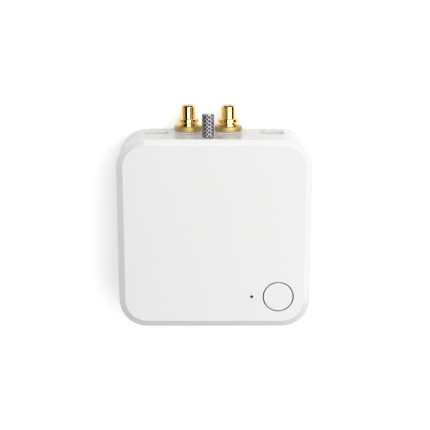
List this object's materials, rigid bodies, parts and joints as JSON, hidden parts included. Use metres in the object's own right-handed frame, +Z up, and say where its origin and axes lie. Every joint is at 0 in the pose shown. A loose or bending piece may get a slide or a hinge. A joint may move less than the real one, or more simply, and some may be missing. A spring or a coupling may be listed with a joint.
{
  "type": "wireless audio adapter",
  "caption": "Square white wireless audio adapter with bevelled face, push button, gold phono jacks and a knurled ground terminal.",
  "frame": {"origin": "on the resting surface, under the middle of the square case, in the bottom face of the foot pad", "axes": "+Z up out of the face with the button, +Y out of the wall with the jacks, +X to the right"},
  "size_m": [0.11, 0.1253, 0.036],
  "materials": {
    "gloss_white": "glossy moulded white ABS",
    "satin_white": "satin moulded white ABS",
    "grey_rubber": "matt moulded rubber",
    "zinc_steel": "zinc-plated steel",
    "gold_plate": "polished gold plating on brass",
    "white_nylon": "natural white nylon",
    "nickel_knurl": "dark nickel plating over knurled brass",
    "tinned_brass": "tinned stamped brass",
    "board_laminate": "green solder mask on glass laminate",
    "black_epoxy": "moulded black epoxy",
    "black_nylon": "moulded black nylon",
    "smoked_acrylic": "polished smoked acrylic",
    "aluminium_can": "drawn aluminium can"
  },
  "bodies": {
    "case": {"top_shell": "gloss_white", "base_plate": "satin_white", "foot_pad": "grey_rubber", "case_screw_1": "zinc_steel", "case_screw_2": "zinc_steel", "case_screw_3": "zinc_steel", "case_screw_4": "zinc_steel", "main_board": "board_laminate", "board_screw_1": "zinc_steel", "board_screw_2": "zinc_steel", "board_screw_3": "zinc_steel", "board_screw_4": "zinc_steel", "left_jack_shell": "gold_plate", "left_jack_washer": "white_nylon", "left_jack_insulator": "white_nylon", "left_jack_contact": "gold_plate", "left_jack_bush": "white_nylon", "left_jack_tag": "tinned_brass", "left_jack_nut": "gold_plate", "right_jack_shell": "gold_plate", "right_jack_washer": "white_nylon", "right_jack_insulator": "white_nylon", "right_jack_contact": "gold_plate", "right_jack_bush": "white_nylon", "right_jack_tag": "tinned_brass", "right_jack_nut": "gold_plate", "ground_stud": "zinc_steel", "ground_strap": "tinned_brass", "ground_nut": "zinc_steel", "switch_body": "black_nylon", "light_pipe": "smoked_acrylic", "status_lamp": "white_nylon", "power_inlet_shell": "zinc_steel", "power_inlet_tongue": "black_nylon", "selector_frame": "zinc_steel", "wireless_board": "board_laminate", "wireless_shield": "zinc_steel", "converter_chip": "black_epoxy", "preamp_chip": "black_epoxy", "regulator_chip": "black_epoxy", "power_inductor": "black_epoxy", "clock_crystal": "zinc_steel", "filter_capacitor_1": "aluminium_can", "filter_capacitor_2": "aluminium_can", "filter_capacitor_3": "aluminium_can", "filter_capacitor_4": "aluminium_can"},
    "button": {"button_cap": "gloss_white", "switch_plunger": "black_nylon"},
    "ground_carrier": {"ground_washer": "nickel_knurl"},
    "thumb_nut": {"ground_thumb_nut": "nickel_knurl"},
    "selector": {"selector_knob": "black_nylon"}
  },
  "joints": [
    {"name": "button_press", "type": "slide", "parent": "case", "child": "button", "axis": [0, 0, -1], "range_m": [0, 0.0005], "stiffness_N_per_m": 2000},
    {"name": "nut_lift", "type": "slide", "parent": "case", "child": "ground_carrier", "axis": [0, 1, 0], "range_m": [0, 0.0028]},
    {"name": "nut_turn", "type": "hinge", "parent": "ground_carrier", "child": "thumb_nut", "pos_m": [-0.0036, 0.05464, 0.029], "axis": [0, 1, 0], "range_deg": [0, 1440]},
    {"name": "selector_slide", "type": "slide", "parent": "case", "child": "selector", "axis": [1, 0, 0], "range_m": [0, 0.002]}
  ],
  "couplings": [
    {"joint": "nut_turn", "follows": "nut_lift", "rad_per_m": 8976}
  ]
}
